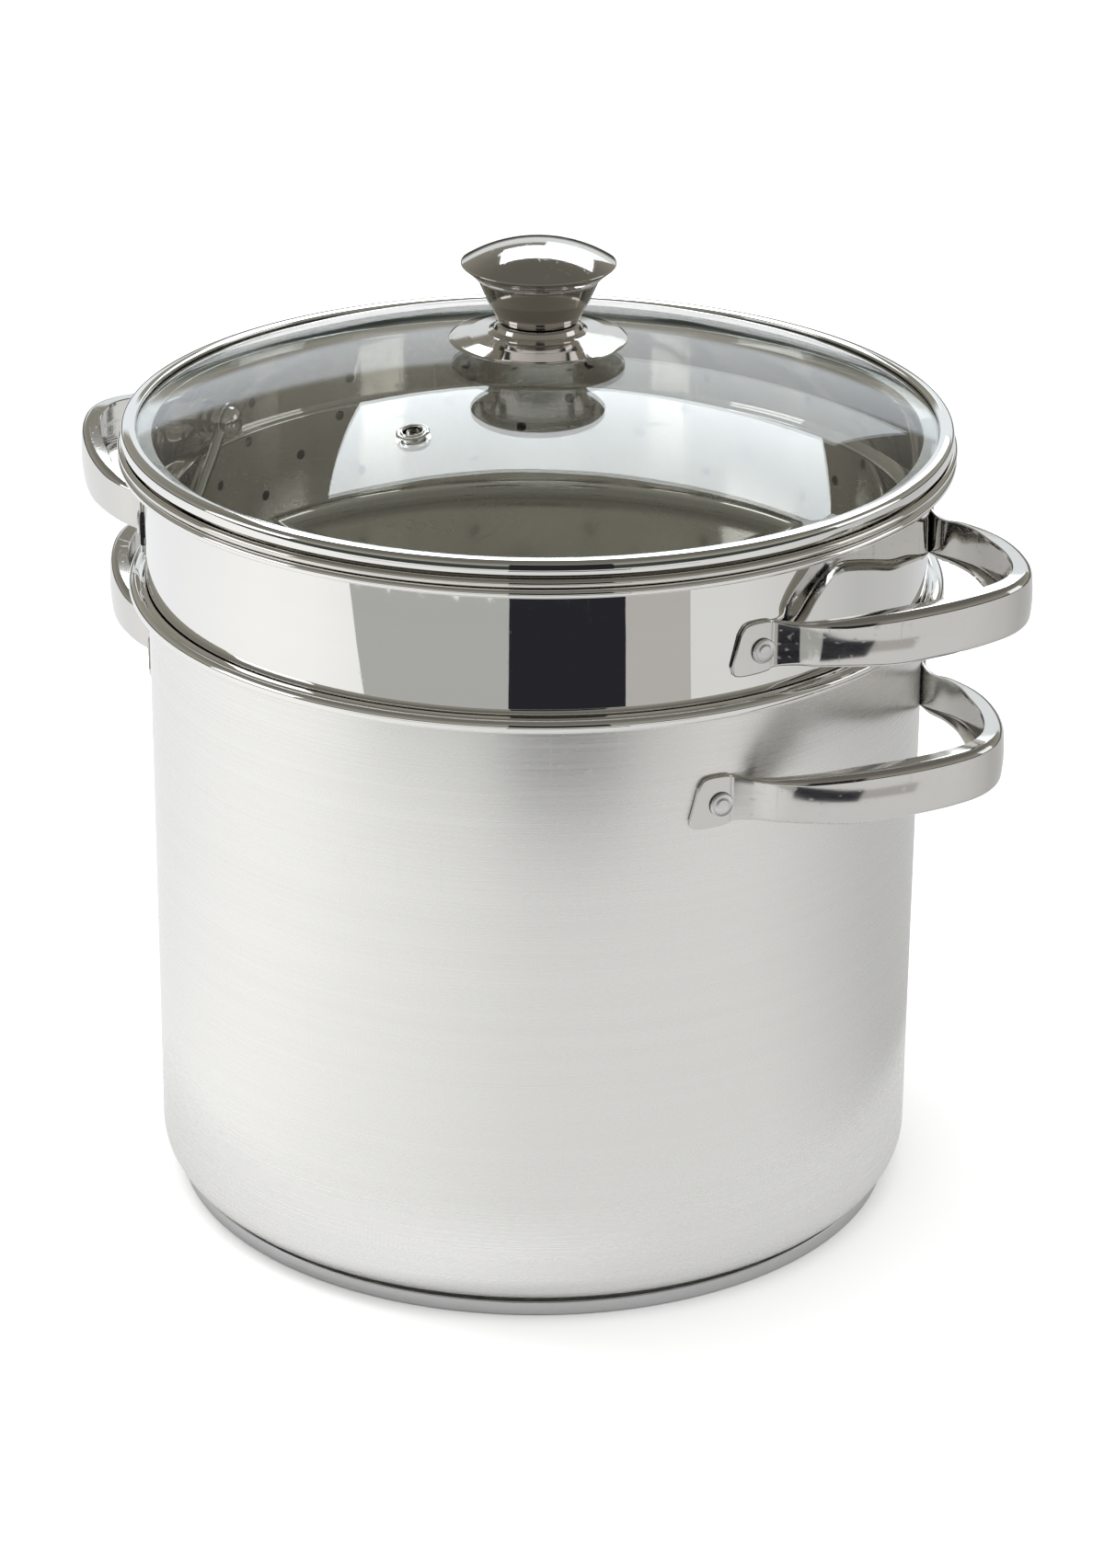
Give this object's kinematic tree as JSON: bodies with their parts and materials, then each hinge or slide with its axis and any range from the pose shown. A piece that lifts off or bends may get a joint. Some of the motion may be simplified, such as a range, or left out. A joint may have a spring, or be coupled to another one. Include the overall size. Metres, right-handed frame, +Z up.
{
  "type": "water bath canner",
  "caption": "Tall steel stock pot with a seated deep perforated basket, a shallow steamer basket with a folding bail, strap handles, and a domed glass lid with a turned knob.",
  "frame": {"origin": "on the floor under the pot's axis, at the middle of the base's flat underside", "axes": "+Z up along the pot's axis, +X towards the pot's right handle, +Y across the handles"},
  "size_m": [0.353, 0.2772, 0.3322],
  "materials": {
    "satin_steel": "satin, fine turned lines around the wall",
    "polished_steel": "mirror polished stainless sheet",
    "base_steel": "satin, turned",
    "aluminium": "dull",
    "glass": "clear tempered",
    "silicone": "matte"
  },
  "bodies": {
    "pot": {"stock_pot": "satin_steel", "base_cap": "base_steel", "base_core": "aluminium", "pot_handle_right": "polished_steel", "pot_handle_left": "polished_steel", "pot_rivet_right_front": "aluminium", "pot_rivet_right_rear": "aluminium", "pot_rivet_left_rear": "aluminium", "pot_rivet_left_front": "aluminium"},
    "basket": {"canning_basket": "polished_steel", "basket_handle_right": "polished_steel", "basket_handle_left": "polished_steel", "basket_rivet_right_front": "aluminium", "basket_rivet_right_rear": "aluminium", "basket_rivet_left_rear": "aluminium", "basket_rivet_left_front": "aluminium"},
    "steamer": {"steamer_basket": "polished_steel", "bail_washer_right": "polished_steel", "bail_washer_left": "polished_steel", "bail_rivet_right": "polished_steel", "bail_rivet_left": "polished_steel"},
    "bail": {"steamer_bail": "polished_steel"},
    "lid": {"lid_glass": "glass", "lid_band": "polished_steel", "vent_eyelet": "polished_steel", "knob_seal": "silicone", "knob_flange": "polished_steel", "knob_body": "polished_steel", "knob_cap": "polished_steel", "knob_screw": "polished_steel", "screw_washer": "polished_steel"}
  },
  "joints": [
    {"name": "basket_lift", "type": "slide", "parent": "pot", "child": "basket", "axis": [0, 0, 1], "range_m": [0, 0.21]},
    {"name": "steamer_lift", "type": "slide", "parent": "basket", "child": "steamer", "axis": [0, 0, 1], "range_m": [0, 0.08]},
    {"name": "bail_swing", "type": "hinge", "parent": "steamer", "child": "bail", "pos_m": [0, 0, 0.2465], "axis": [-0.9947, -0.1028, 0], "range_deg": [0, 34]},
    {"name": "lid_lift", "type": "slide", "parent": "steamer", "child": "lid", "axis": [0, 0, 1], "range_m": [0, 0.12]}
  ]
}
